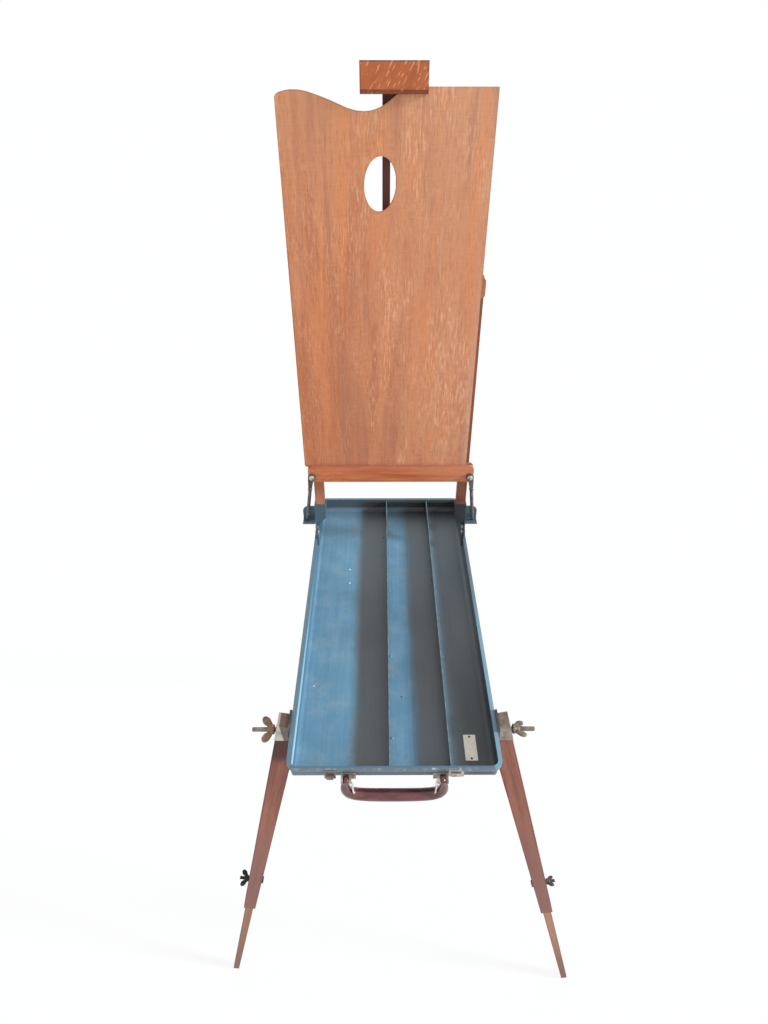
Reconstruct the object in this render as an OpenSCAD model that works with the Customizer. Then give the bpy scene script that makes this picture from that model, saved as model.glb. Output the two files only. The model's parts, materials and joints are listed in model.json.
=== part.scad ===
// A pochade box: a shallow steel paint tray on three telescoping wooden legs,
// with a folding wooden easel frame, a palette and a sliding clamp mast.
// Work is laid out with the tray's rim top at z 0 and its front edge at y 0,
// then place() lifts it so that the feet stand on z 0.

/* [Tray] */
// outer width over the rim
tray_w = 270; // [200:1:340]
// outer length over the rim
tray_l = 575; // [420:1:700]
// depth from the rim to the floor's underside
tray_h = 25.2; // [22:0.1:40]
// sheet thickness
sheet = 1.2; // [0.8:0.1:2]
// width of the turned-out rim
rim_w = 4; // [2.5:0.1:8]
// depth of the turned-down lip
lip_h = 5; // [3:0.1:8]
// plan radius of the corners
corner_r = 10; // [4:0.5:25]
// radius of the floor's edges
edge_r = 9; // [3:0.5:14]

/* [Dividers] */
// first divider, distance from the middle
divider_a_x = -6.5; // [-40:0.5:20]
// second divider, distance from the middle
divider_b_x = 70; // [40:0.5:100]
// height above the floor
divider_h = 21.5; // [12:0.5:22]
// width of the foot flange
flange_w = 7; // [4:0.5:12]

/* [Bare plate] */
// width
plate_w = 16; // [8:0.5:30]
// length
plate_l = 38; // [15:0.5:60]
// distance from the middle
plate_x = 100.5; // [90:0.5:108]
// distance from the front
plate_y = 46; // [30:0.5:90]

/* [Handle] */
// width over the loops
handle_w = 120; // [80:1:150]
// how far the grip hangs
handle_drop = 46; // [30:1:60]
// radius of the grip
grip_r = 7; // [4:0.25:9]

/* [Front legs] */
// pivot, distance outside the tray's side
pivot_out = 6; // [6:0.5:15]
// pivot, distance from the front
pivot_y = 69; // [40:1:120]
// pivot, depth below the rim
pivot_drop = 16; // [12:0.5:18]
// outward lean of the left leg
splay_left = 12.35; // [6:0.05:20]
// outward lean of the right leg
splay_right = 15; // [6:0.05:20]
// forward lean of the left leg
tilt_left = 1.8; // [0:0.1:8]
// forward lean of the right leg
tilt_right = 3.2; // [0:0.1:8]

/* [Leg wood] */
// outer leg below the pivot
leg_len = 495; // [350:1:600]
// width at the top
leg_top_w = 28; // [24:0.5:36]
// width at the lower end
leg_end_w = 20; // [19:0.5:28]
// depth front to back
leg_d = 20; // [18:0.5:30]
// width of the inner leg
inner_w = 13.6; // [10:0.1:14]
// depth of the inner leg
inner_d = 12; // [9:0.1:13]
// length left inside the outer leg
insert_len = 123; // [100:1:160]
// travel of the inner leg
travel = 250; // [100:1:260]
// radius of the rounded foot
foot_r = 5.6; // [4:0.1:9]
// rim height above the floor
rim_height = 767; // [650:1:850]

/* [Rear leg] */
// pivot, distance inside the tray's rear edge
back_in = 30; // [20:1:95]
// rearward lean
back_tilt = 18; // [8:0.5:26]

/* [Clamps] */
// radius of the leg studs
stud_r = 3; // [2:0.1:4]
// how far a stud's end stands past the leg's side
stud_out = 33; // [20:1:45]
// radius of the small clamp bolts
bolt_r = 2.5; // [2:0.1:3]
// height of the clamp bolts above the outer leg's end
clamp_up = 84; // [40:1:110]
// radial clearance of a turning or sliding pin
run_gap = 0.06; // [0.02:0.01:0.09]
// gap between pieces that move past each other
gap = 0.3; // [0.2:0.05:0.5]

/* [Easel frame] */
// frame pivot, distance inside the tray's rear edge
hinge_in = 118; // [75:1:195]
// frame pivot, height above the rim
hinge_z = 10; // [9:0.5:20]
// backward lean of the frame
lean = 2; // [0:0.5:8]
// stiles, outer face inside the tray's side
stile_in = 4.5; // [3:0.5:15]
// stile width
stile_w = 16; // [12:0.5:22]
// stile depth
stile_d = 14; // [10:0.5:18]
// stiles, how far behind the pivot
stile_q = 5; // [3:0.5:9]
// where the wood leaves the steel shoe
shoe_top = 57; // [45:1:80]
// ledge's lower edge above the pivot
ledge_s = 112; // [90:1:150]
// ledge height
ledge_h = 29; // [20:0.5:40]
// ledge's end beyond the stile's outer face
ledge_out = 7; // [5.5:0.5:15]
// ledge depth
ledge_d = 15; // [10:0.5:18]
// crossbar's middle above the pivot
bar_s = 427; // [300:1:520]
// crossbar height
bar_h = 28; // [20:0.5:40]
// crossbar's end beyond the stile's outer face
bar_out = 1.5; // [0.5:0.5:10]

/* [Palette] */
// width at the bottom
palette_w = 267; // [200:1:270]
// length
palette_l = 528; // [470:1:560]
// thickness
palette_t = 5.5; // [3:0.1:8]
// how far it is pushed to the left
palette_shift = 9; // [0:1:20]
// how far each side leans out at the top
palette_flare = 2.2; // [0:0.1:5]
// thumb hole, half width
hole_w = 20.6; // [15:0.1:26]
// thumb hole, half height
hole_h = 32.5; // [20:0.5:40]
// thumb hole's middle, distance left of the frame's middle
hole_left = 17; // [0:1:60]
// thumb hole's middle, distance below the palette's top
hole_down = 106; // [60:1:200]

/* [Mast] */
// width
mast_w = 28; // [22:0.5:36]
// thickness
mast_t = 9; // [6:0.5:12]
// slot width
slot_w = 7.5; // [6:0.1:10]
// lower end above the pivot
mast_s = 200; // [170:1:300]
// clamp block width
block_w = 82; // [60:1:110]
// clamp block height
block_h = 33.5; // [24:0.5:45]
// stay bolts, distance beyond the stile's outer face
stay_out = 1; // [-5:0.5:2]
// stay rod radius
rod_r = 3; // [2:0.1:4]

/* [Hidden] */
$fn = 64;

cut = 1;
loop_y = -7;
loop_z = -12;
bend_r = 18;
pivot_x = tray_w/2 + pivot_out;
back_y = tray_l - back_in;
hinge_y = tray_l - hinge_in;
stile_x = tray_w/2 - stile_in;
ledge_x = stile_x + ledge_out;
bar_x = stile_x + bar_out;
stay_x = stile_x + stay_out;
big = 1200;

wall_x = tray_w/2 - rim_w;
wall_front = rim_w;
wall_back = tray_l - rim_w;
floor_z = -tray_h + sheet;
pivot_z = -pivot_drop;
bracket_x = tray_w/2;
bracket_t = 2.8;
bevel_x = bracket_x + bracket_t + gap;
cap_t = 1.2;
clamp_w = -(leg_len - clamp_up);
inner_top = -(leg_len - insert_len);
groove_top = inner_top + travel + 8;
groove_w = inner_w + 2*0.2;
groove_front = -(inner_d/2 + 0.2);
clamp_half = leg_top_w/2 - (leg_top_w - leg_end_w)/2*(leg_len - clamp_up)/leg_len;
leg_top = 17;
back_top = 14;
back_clear = norm([leg_d/2, back_top]) + 0.8;
back_plate = 2;
back_z = -(tray_h + back_plate + back_clear);
foot_left = (rim_height - pivot_drop - foot_r)/(cos(splay_left)*cos(tilt_left));
foot_right = (rim_height - pivot_drop - foot_r)/(cos(splay_right)*cos(tilt_right));
foot_back = (rim_height + back_z - foot_r)/cos(back_tilt);
stud_end = pivot_x + leg_top_w/2 + stud_out;
wing_x = pivot_x + (leg_top_w/2 + cap_t)/cos(splay_right) + 1.6;

ledge_q = stile_q - ledge_d;
ledge_top = ledge_s + ledge_h;
palette_back = stile_q - 3.5;
palette_front = palette_back - palette_t;
palette_s = ledge_top - 3;
palette_top = palette_s + palette_l;
bar_q = palette_back + 0.5;
bar_d = 11;
mast_q = bar_q + bar_d + gap;
block_top = palette_top + 1 + 25;
block_s = block_top - block_h;
block_q = palette_front - 8;
mast_top = block_top - 4;
shoe_t = 1.2;
shoe_in = 30;
ear_in = wall_x - sheet - 2;
ear_out = wall_x - 0.5;
cheek_x = ear_out + gap;
shelf_y = hinge_y + 46;
shelf_t = 2;
shelf_x = tray_w/2 + 25;

// the middle of the whole object, so that it stands centred on the origin
mid_x = (foot_right*sin(splay_right) - foot_left*sin(splay_left))/2;
mid_y = (loop_y - grip_r + back_y + foot_back*sin(back_tilt) + foot_r)/2;

// smooth curve through the palette's wavy top, left to right, measured down from the top edge
wave = [[0, 10.8], [0.6, 9], [2, 7.4], [6, 5.3], [12, 3.8], [19, 2.9], [28.5, 3], [37, 4.4], [45, 6.6],
        [54.5, 9.7], [64, 13], [75, 17.3], [87, 22], [97, 24.6], [106.5, 25.2], [114, 24.8],
        [121, 23.1], [129, 19.8], [135.5, 16], [145, 9], [150, 4.9], [155, 1.9], [160, 0.4],
        [165, 0]];

module place() {
    translate([-mid_x, -mid_y, rim_height]) children();
}

module easel() {
    translate([0, hinge_y, hinge_z]) rotate([-lean, 0, 0]) children();
}

module both() {
    children();
    mirror([1, 0, 0]) children();
}

// a rectangle with round corners, low corner at a, high corner at b
module round_rect(a, b, r) {
    translate([a[0] + r, a[1]]) square([b[0] - a[0] - 2*r, b[1] - a[1]]);
    translate([a[0], a[1] + r]) square([b[0] - a[0], b[1] - a[1] - 2*r]);
    for (x = [a[0] + r, b[0] - r], y = [a[1] + r, b[1] - r]) translate([x, y]) circle(r);
}

// a pan: round plan corners and rounded lower edges
module pan(half, front, back, bottom, top, r, e) {
    intersection() {
        translate([0, 0, bottom]) linear_extrude(top - bottom)
            round_rect([-half, front], [half, back], r);
        translate([0, back + cut, 0]) rotate([90, 0, 0]) linear_extrude(back - front + 2*cut)
            round_rect([-half, bottom], [half, top + 4*e], e);
        translate([-half - cut, 0, 0]) rotate([90, 0, 90]) linear_extrude(2*half + 2*cut)
            round_rect([front, bottom], [back, top + 4*e], e);
    }
}

module tray() color("SteelBlue") place() {
    difference() {
        union() {
            pan(wall_x, wall_front, wall_back, -tray_h, 0, corner_r, edge_r);
            difference() {
                translate([0, 0, -lip_h]) linear_extrude(lip_h)
                    round_rect([-tray_w/2, 0], [tray_w/2, tray_l], corner_r + rim_w);
                translate([0, 0, -lip_h - cut]) linear_extrude(lip_h + cut - sheet)
                    round_rect([-tray_w/2 + sheet, sheet], [tray_w/2 - sheet, tray_l - sheet],
                               corner_r + rim_w - sheet);
            }
        }
        pan(wall_x - sheet, wall_front + sheet, wall_back - sheet, floor_z, cut,
            corner_r - sheet, edge_r - sheet);
        divider_pins(0.01);
        plate_pins(0.01);
    }
}

// sheet with rounded lower corners that stands between the front and back walls
module divider(x) {
    front = wall_front + sheet + 0.15;
    back = wall_back - sheet - 0.15;
    difference() {
        union() {
            translate([x, 0, 0]) rotate([90, 0, 90]) linear_extrude(sheet) intersection() {
                round_rect([front, floor_z], [back, floor_z + 3*divider_h], edge_r - sheet);
                translate([0, floor_z]) square([tray_l, divider_h]);
            }
            translate([x, front + edge_r, floor_z]) cube([flange_w, back - front - 2*edge_r, sheet]);
        }
        divider_pins(0.01);
    }
}

module divider_a() color("SteelBlue") place() divider(divider_a_x);
module divider_b() color("SteelBlue") place() divider(divider_b_x);

rivet_rows = [60, 200, 340, tray_l - 135, tray_l - 50];

function divider_spots() = [for (x = [divider_a_x, divider_b_x], y = rivet_rows)
    [x + flange_w - 2.6, y]];

module divider_pins(grow) {
    for (p = divider_spots()) translate([p[0], p[1], -tray_h - cut])
        cylinder(h = tray_h, r = 1.2 + grow);
}

module divider_rivets() color("LightSteelBlue") place() {
    for (p = divider_spots()) translate([p[0], p[1], 0]) {
        translate([0, 0, -tray_h]) cylinder(h = 2*sheet, r = 1.2);
        translate([0, 0, floor_z + sheet]) cylinder(h = 0.8, r1 = 2.2, r2 = 1.4);
        translate([0, 0, -tray_h - 0.6]) cylinder(h = 0.6, r1 = 1.4, r2 = 2.2);
    }
}

module plate_pins(grow) {
    for (s = [-1, 1]) translate([plate_x, plate_y + s*(plate_l/2 - 3), -tray_h - cut])
        cylinder(h = tray_h, r = 0.9 + grow);
}

module bare_plate() color("Gainsboro") place() difference() {
    translate([0, 0, floor_z]) linear_extrude(0.6)
        round_rect([plate_x - plate_w/2, plate_y - plate_l/2],
                   [plate_x + plate_w/2, plate_y + plate_l/2], 1);
    plate_pins(0.01);
}

module plate_rivets() color("Silver") place() {
    for (s = [-1, 1]) translate([plate_x, plate_y + s*(plate_l/2 - 3), 0]) {
        translate([0, 0, -tray_h]) cylinder(h = sheet + 0.6, r = 0.9);
        translate([0, 0, floor_z + 0.6]) cylinder(h = 0.6, r1 = 1.7, r2 = 1);
        translate([0, 0, -tray_h - 0.4]) cylinder(h = 0.4, r1 = 1, r2 = 1.7);
    }
}

// handle: a round grip that hangs from two steel loops

module handle_necks(grow) {
    half = handle_w/2;
    both() translate([half - 3 - grow, -3.5 - grow, -20]) cube([6 + 2*grow, 7 + 2*grow, 20]);
}

module handle_grip() color("Maroon") place() translate([0, loop_y, loop_z]) difference() {
    half = handle_w/2;
    low = -handle_drop + grip_r;
    union() {
        both() {
            translate([half - bend_r, 0, low + bend_r]) rotate([90, 0, 0]) rotate([0, 0, -90])
                rotate_extrude(angle = 90) translate([bend_r, 0]) circle(grip_r);
            translate([half, 0, low + bend_r])
                cylinder(h = -low - bend_r - grip_r - 6, r = grip_r);
            translate([half, 0, -grip_r - 6]) sphere(grip_r - 0.01);
        }
        translate([-half + bend_r, 0, low]) rotate([0, 90, 0])
            cylinder(h = 2*(half - bend_r), r = grip_r);
    }
    handle_necks(0.01);
}

// steel loops let into the ends of the grip; they turn on the staples' pins
module handle_loops() color("Silver") place() translate([0, loop_y, loop_z]) difference() {
    half = handle_w/2;
    union() {
        handle_necks(0);
        both() translate([half - 3, 0, 0]) rotate([0, 90, 0]) cylinder(h = 6, r = 5);
    }
    both() translate([half - 5, 0, 0]) rotate([0, 90, 0]) cylinder(h = 10, r = 2 + run_gap);
}

module handle_staples() color("Silver") place() both() {
    half = handle_w/2;
    for (x = [half - 6.5, half + 4]) translate([x, 0, loop_z]) rotate([90, 0, 90])
        linear_extrude(2.5) union() {
            translate([loop_y, 0]) circle(4);
            translate([loop_y, -4]) square([-loop_y, 8]);
        }
    translate([half - 5, loop_y, loop_z]) rotate([0, 90, 0]) cylinder(h = 10, r = 2);
    translate([half - 12, -1.2, loop_z - 6]) cube([18.6, 1.2, 12]);
}

module clasp() color("DimGray") place() {
    out = handle_w/2;
    translate([-out - 27, -2, -16]) cube([14, 2, 15]);
    translate([-out - 24, -5, -14]) cube([8, 3, 6]);
    translate([-out - 25, -4.5, -9]) rotate([0, 90, 0]) cylinder(h = 10, r = 1.8);
}

module catch_plate() color("Silver") place() {
    out = handle_w/2;
    translate([out + 7, -1.4, -13]) cube([19, 1.4, 12]);
    translate([out + 10, -3.6, -6]) rotate([0, 90, 0]) cylinder(h = 12, r = 2.2);
}

function splay(side) = side > 0 ? splay_right : splay_left;
function tilt(side) = side > 0 ? tilt_right : tilt_left;
function foot(side) = side > 0 ? foot_right : foot_left;

module at_leg(side) {
    mirror([side < 0 ? 1 : 0, 0, 0]) translate([pivot_x, pivot_y, pivot_z])
        rotate([-tilt(side), 0, 0]) children();
}

module in_leg(side) {
    rotate([0, -splay(side), 0]) children();
}

module at_back() {
    translate([0, back_y, back_z]) rotate([back_tilt, 0, 0]) children();
}

module leg_bracket(side) mirror([side < 0 ? 1 : 0, 0, 0]) difference() {
    union() {
        translate([bracket_x, pivot_y, 0]) rotate([90, 0, 90]) linear_extrude(bracket_t)
            round_rect([-17, -23], [17, 5], 3);
        translate([wall_x, pivot_y - 13, -14]) cube([rim_w, 26, 14 - lip_h]);
    }
    translate([wall_x - cut, pivot_y, pivot_z]) rotate([0, 90, 0])
        cylinder(h = 20, r = stud_r + 0.01);
}

module leg_bracket_l() color("Gray") place() leg_bracket(-1);
module leg_bracket_r() color("Gray") place() leg_bracket(1);

module leg_studs() color("Gray") place() both() {
    translate([bracket_x - 3, pivot_y, pivot_z]) rotate([0, 90, 0])
        cylinder(h = stud_end - bracket_x + 2, r = stud_r);
    translate([stud_end - 1, pivot_y, pivot_z]) rotate([0, 90, 0])
        cylinder(h = 1, r1 = stud_r, r2 = stud_r - 1);
}

module dome(r, h) {
    cylinder(h = h*0.4, r = r);
    translate([0, 0, h*0.4]) cylinder(h = h*0.6, r1 = r, r2 = r*0.45);
}

module bracket_rivets() color("SteelBlue") place() both() {
    for (y = [-12, 12]) translate([bracket_x + bracket_t, pivot_y + y, -19])
        rotate([0, 90, 0]) cylinder(h = 0.2, r = 2);
    for (y = [shelf_y - 6, shelf_y + 4]) translate([bracket_x + 1.6, y, -9])
        rotate([0, 90, 0]) dome(2.4, 1.4);
}

module blank(grow, top, len) {
    a = leg_top_w/2 + grow;
    b = leg_end_w/2 + grow;
    rotate([90, 0, 0]) linear_extrude(leg_d + 2*grow, center = true)
        polygon([[-a, top], [a, top], [a, 0], [b, -len], [-b, -len], [-a, 0]]);
}

module groove() {
    translate([-groove_w/2, groove_front, -leg_len - cut])
        cube([groove_w, leg_d, leg_len + cut + groove_top]);
}

module clamp_hole(r) {
    translate([-leg_top_w, 0, clamp_w]) rotate([0, 90, 0]) cylinder(h = 2*leg_top_w, r = r);
}

module leg_outer(side) at_leg(side) difference() {
    in_leg(side) difference() {
        blank(0, leg_top, leg_len);
        groove();
        clamp_hole(bolt_r + 0.01);
    }
    translate([-big + bevel_x - pivot_x, -big/2, -big/2]) cube([big, big, big]);
    translate([-2*leg_top_w, 0, 0]) rotate([0, 90, 0])
        cylinder(h = 4*leg_top_w, r = stud_r + run_gap);
}

module leg_l_outer() color("RosyBrown") place() leg_outer(-1);
module leg_r_outer() color("RosyBrown") place() leg_outer(1);

module leg_cap(side) at_leg(side) difference() {
    in_leg(side) difference() {
        blank(cap_t, leg_top + cap_t, leg_len);
        blank(0.01, leg_top + 0.01, leg_len + 2);
    }
    translate([-big + bevel_x - pivot_x, -big/2, -big/2]) cube([big, big, big]);
    translate([-big/2, -big/2, -big - 9]) cube([big, big, big]);
    translate([-2*leg_top_w, 0, 0]) rotate([0, 90, 0])
        cylinder(h = 4*leg_top_w, r = stud_r + run_gap);
}

module leg_l_cap() color("Gray") place() leg_cap(-1);
module leg_r_cap() color("Gray") place() leg_cap(1);

module inner_leg(low) {
    a = inner_w/2;
    b = foot_r - 0.3;
    difference() {
        union() {
            rotate([90, 0, 0]) linear_extrude(inner_d, center = true)
                polygon([[-a, inner_top], [a, inner_top], [a, -leg_len], [b, -low],
                         [-b, -low], [-a, -leg_len]]);
            translate([0, 0, -low]) sphere(foot_r);
        }
        translate([-inner_w, -bolt_r - 0.2, clamp_w - travel - 8])
            cube([2*inner_w, 2*bolt_r + 0.4, travel + 16]);
        for (s = [-1, 1]) translate([-inner_w, s*(inner_d/2 + 5) - 5, -low - 20])
            rotate([s*2.6, 0, 0]) translate([0, 0, -60]) cube([2*inner_w, 10, 60]);
    }
}

module leg_l_inner() color("Peru") place() at_leg(-1) in_leg(-1) inner_leg(foot_left);
module leg_r_inner() color("Peru") place() at_leg(1) in_leg(1) inner_leg(foot_right);

// wing nut along +z with its base at 0
module wing_nut(k, bore, turn) rotate([0, 0, turn]) difference() {
    union() {
        cylinder(h = 9.5*k, r1 = 6.5*k, r2 = 5*k);
        for (m = [0, 180]) rotate([90, 0, m]) linear_extrude(2.8*k, center = true) {
            translate([11*k, 11.5*k]) circle(5.2*k);
            polygon([[2*k, 1*k], [6*k, 1.5*k], [14.5*k, 7.8*k], [8*k, 15.5*k], [2*k, 9.5*k]]);
        }
    }
    translate([0, 0, -cut]) cylinder(h = 30*k, r = bore);
    translate([0, 0, 9.5*k]) cylinder(h = 30*k, r = 5*k);
}

module leg_l_wing() color("Gray") place() mirror([1, 0, 0])
    translate([wing_x, pivot_y, pivot_z]) rotate([0, 90, 0]) wing_nut(1, stud_r + run_gap, 125);
module leg_r_wing() color("Gray") place()
    translate([wing_x, pivot_y, pivot_z]) rotate([0, 90, 0]) wing_nut(1, stud_r + run_gap, 62);

// clamp bolt across the leg: square head inside, threaded end outside
module clamp_bolt() {
    half = clamp_half;
    translate([-half - 3, 0, clamp_w]) rotate([0, 90, 0]) cylinder(h = 2*half + 18, r = bolt_r);
    translate([-half - 3, -4, clamp_w - 4]) cube([2.8, 8, 8]);
}

module leg_l_bolt() color("DimGray") place() at_leg(-1) in_leg(-1) clamp_bolt();
module leg_r_bolt() color("DimGray") place() at_leg(1) in_leg(1) clamp_bolt();

module clamp_nut(turn) {
    translate([clamp_half + 0.35, 0, clamp_w]) rotate([0, 90, 0])
        wing_nut(0.74, bolt_r + run_gap, turn);
}

module leg_l_nut() color("DimGray") place() at_leg(-1) in_leg(-1) clamp_nut(10);
module leg_r_nut() color("Gray") place() at_leg(1) in_leg(1) clamp_nut(75);

// rear leg bracket: a bent plate under the tray with two cheeks
cheek_in = leg_top_w/2 + gap;
cheek_t = 2;

module leg_b_bracket() color("SteelBlue") place() difference() {
    union() {
        translate([-cheek_in - 16, back_y - 15, -tray_h - back_plate])
            cube([2*cheek_in + 32, 30, back_plate]);
        both() translate([cheek_in, back_y, back_z]) rotate([90, 0, 90])
            linear_extrude(cheek_t) union() {
                circle(9);
                translate([-9, 0]) square([18, back_clear]);
            }
    }
    translate([-3*leg_top_w, back_y, back_z]) rotate([0, 90, 0])
        cylinder(h = 6*leg_top_w, r = stud_r + 0.01);
}

module leg_b_pin() color("Gray") place() translate([0, back_y, back_z]) {
    translate([-cheek_in - cheek_t - 3, 0, 0]) rotate([0, 90, 0]) cylinder(h = 3, r = 6);
    translate([-cheek_in - cheek_t, 0, 0]) rotate([0, 90, 0])
        cylinder(h = 2*(cheek_in + cheek_t) + 18, r = stud_r);
}

module leg_b_wing() color("Gray") place() translate([cheek_in + cheek_t + 0.3, back_y, back_z])
    rotate([0, 90, 0]) wing_nut(1, stud_r + run_gap, 90);

module leg_b_outer() color("RosyBrown") place() at_back() difference() {
    blank(0, back_top, leg_len);
    groove();
    clamp_hole(bolt_r + 0.01);
    translate([-2*leg_top_w, 0, 0]) rotate([0, 90, 0])
        cylinder(h = 4*leg_top_w, r = stud_r + run_gap);
}

module leg_b_inner() color("Peru") place() at_back() inner_leg(foot_back);
module leg_b_bolt() color("DimGray") place() at_back() clamp_bolt();
module leg_b_nut() color("DimGray") place() at_back() clamp_nut(40);

// stay bracket: shelf on the rim, web outside the lip and a rear cheek
module stay_bracket() {
    translate([wall_x, shelf_y - 10, 0]) cube([shelf_x - wall_x, 18, shelf_t]);
    translate([tray_w/2, shelf_y - 10, -15]) cube([1.6, 18, 15]);
    translate([0, shelf_y + 8, 0]) rotate([90, 0, 0]) linear_extrude(2) union() {
        translate([wall_x + 3, 0]) square([shelf_x - wall_x - 3, 18]);
        translate([wall_x + 3, 17]) square([shelf_x - wall_x - 14, 12]);
        translate([shelf_x - 11, 18]) circle(11);
    }
}

module stay_bracket_l() color("DarkSlateGray") place() mirror([1, 0, 0]) stay_bracket();
module stay_bracket_r() color("DarkSlateGray") place() stay_bracket();

module pivot_ear() difference() {
    union() {
        translate([ear_in, hinge_y - 7, -tray_h + edge_r + 1])
            cube([2, 14, tray_h - edge_r - 1]);
        translate([ear_in, hinge_y - 7, 0]) cube([ear_out - ear_in, 14, hinge_z]);
        translate([ear_in, hinge_y, hinge_z]) rotate([0, 90, 0])
            cylinder(h = ear_out - ear_in, r = 7);
    }
    translate([ear_in - cut, hinge_y, hinge_z]) rotate([0, 90, 0]) cylinder(h = 20, r = 2.5 + 0.01);
}

module pivot_ear_l() color("SteelBlue") place() mirror([1, 0, 0]) pivot_ear();
module pivot_ear_r() color("SteelBlue") place() pivot_ear();

module pivot_rivets() color("Silver") place() both() translate([0, hinge_y, hinge_z]) {
    translate([ear_in - 1.2, 0, 0]) rotate([0, 90, 0]) cylinder(h = 1.2, r1 = 2.8, r2 = 4.2);
    translate([ear_in, 0, 0]) rotate([0, 90, 0])
        cylinder(h = cheek_x + 1.6 + gap - ear_in, r = 2.5);
    translate([cheek_x + 1.6 + gap, 0, 0]) rotate([0, 90, 0])
        cylinder(h = 1.2, r1 = 4.2, r2 = 2.8);
}

// painted steel shoe: pivot cheek, tapering front web and a socket for the stile
module shoe() difference() {
    union() {
        translate([cheek_x, 0, 0]) rotate([90, 0, 90]) linear_extrude(1.6) union() {
            circle(6.5);
            polygon([[-5.5, 3.5], [stile_q - shoe_t, 24], [stile_q - shoe_t, shoe_top],
                     [stile_q + stile_d + shoe_t, shoe_top], [stile_q + stile_d + shoe_t, shoe_in],
                     [5.5, -3.5]]);
        }
        translate([stile_x - stile_w - shoe_t, stile_q - shoe_t, shoe_in - shoe_t])
            cube([cheek_x + 1.6 - stile_x + stile_w + shoe_t, stile_d + 2*shoe_t,
                  shoe_top - shoe_in + shoe_t]);
        translate([0, stile_q, 0]) rotate([90, 0, 0]) linear_extrude(shoe_t)
            polygon([[cheek_x + 1.6, 12], [cheek_x + 1.6, shoe_top],
                     [stile_x - stile_w - shoe_t, shoe_top],
                     [stile_x - stile_w - shoe_t, shoe_in], [cheek_x - 4, 12]]);
    }
    translate([stile_x - stile_w - 0.01, stile_q - 0.01, shoe_in])
        cube([stile_w + 0.02, stile_d + 0.02, shoe_top - shoe_in + cut]);
    translate([cheek_x - cut, 0, 0]) rotate([0, 90, 0]) cylinder(h = 10, r = 2.5 + run_gap);
}

module shoe_l() color("DarkSlateGray") place() easel() mirror([1, 0, 0]) shoe();
module shoe_r() color("DarkSlateGray") place() easel() shoe();

module stile() difference() {
    translate([stile_x - stile_w, stile_q, shoe_in])
        cube([stile_w, stile_d, bar_s + bar_h/2 - shoe_in]);
    translate([stile_x - stile_w - cut, stile_q - cut, bar_s - bar_h/2])
        cube([stile_w + 2*cut, bar_q + bar_d - stile_q + cut, bar_h + cut]);
}

module stile_l() color("Sienna") place() easel() mirror([1, 0, 0]) stile();
module stile_r() color("Sienna") place() easel() stile();

module crossbar() color("Sienna") place() easel() difference() {
    translate([0, bar_q + bar_d, bar_s]) rotate([90, 0, 0]) linear_extrude(bar_d)
        round_rect([-bar_x, -bar_h/2], [bar_x, bar_h/2], 5);
    translate([0, bar_q - cut, bar_s]) rotate([-90, 0, 0])
        cylinder(h = bar_d + 2*cut, r = bolt_r + 0.01);
    translate([0, bar_q - cut, bar_s]) rotate([-90, 0, 0]) cylinder(h = cut + 2.5, r = 5.5);
    keeper_pins(0.01);
}

module ledge() color("Chocolate") place() easel() difference() {
    translate([0, stile_q, 0]) rotate([90, 0, 0]) linear_extrude(ledge_d)
        round_rect([-ledge_x, ledge_s], [ledge_x, ledge_top], 6);
    translate([-ledge_x - cut, palette_front - 0.3, palette_s - 0.2])
        cube([2*ledge_x + 2*cut, palette_t + 0.6, 10]);
    both() translate([stay_x, stile_q - 2.5, ledge_s + 10]) rotate([90, 0, 0])
        cylinder(h = ledge_d, r = 2.8 + 0.01);
    translate([5, ledge_q + 2.8, ledge_top - 8]) cylinder(h = 9, r = 1.2 + 0.01);
    translate([5, ledge_q + 2.8, ledge_top - 1.2])
        cylinder(h = 1.3, r1 = 1.2 + 0.01, r2 = 2.5 + 0.01);
}

module ledge_screw() color("Silver") place() easel() translate([5, ledge_q + 2.8, 0]) {
    translate([0, 0, ledge_top - 8]) cylinder(h = 7, r = 1.2);
    translate([0, 0, ledge_top - 1.2]) cylinder(h = 1.1, r1 = 1.2, r2 = 2.3);
}

module stay_screws() color("Silver") place() easel() both() {
    translate([stay_x, stile_q - 2.5, ledge_s + 10]) rotate([90, 0, 0])
        cylinder(h = ledge_d - 2.5 + 3.6, r = 2.8);
    translate([stay_x, ledge_q - 3.6, ledge_s + 10]) rotate([90, 0, 0]) intersection() {
        cylinder(h = 3.2, r = 4.6);
        translate([0, 0, -3.4]) sphere(6.5);
    }
}

// stay: flat eye and tongue in front of the ledge, then a rod back to the shelf
module bar_between(a, b, r) {
    d = b - a;
    translate(a) rotate([0, acos(d[2]/norm(d)), atan2(d[1], d[0])]) cylinder(h = norm(d), r = r);
}

rest_dy = shelf_y - hinge_y;
rest_dz = shelf_t + 0.2 + rod_r + 0.15 - hinge_z;
rest_q = rest_dy*cos(lean) - rest_dz*sin(lean);
rest_s = rest_dy*sin(lean) + rest_dz*cos(lean);
knee = [stay_x + 4.2, ledge_q - 0.3 - 1.5, ledge_s - 13];
tip = [shelf_x - 8, rest_q, rest_s];

module stay() {
    difference() {
        translate([0, ledge_q - 0.3, 0]) rotate([90, 0, 0]) linear_extrude(3) union() {
            translate([stay_x, ledge_s + 10]) circle(6.4);
            polygon([[stay_x - 3.6, ledge_s + 10], [stay_x + 6.4, ledge_s + 10],
                     [knee[0] + 3, knee[2]], [knee[0] - 3, knee[2]]]);
            translate([knee[0], knee[2]]) circle(3.6);
        }
        translate([stay_x, ledge_q + cut, ledge_s + 10]) rotate([90, 0, 0])
            cylinder(h = 10, r = 2.8 + run_gap);
    }
    translate(knee) sphere(rod_r + 0.4);
    bar_between(knee, tip, rod_r);
    translate(tip) sphere(rod_r + 0.15);
}

module stay_l() color("SlateGray") place() easel() mirror([1, 0, 0]) stay();
module stay_r() color("SlateGray") place() easel() stay();

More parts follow.
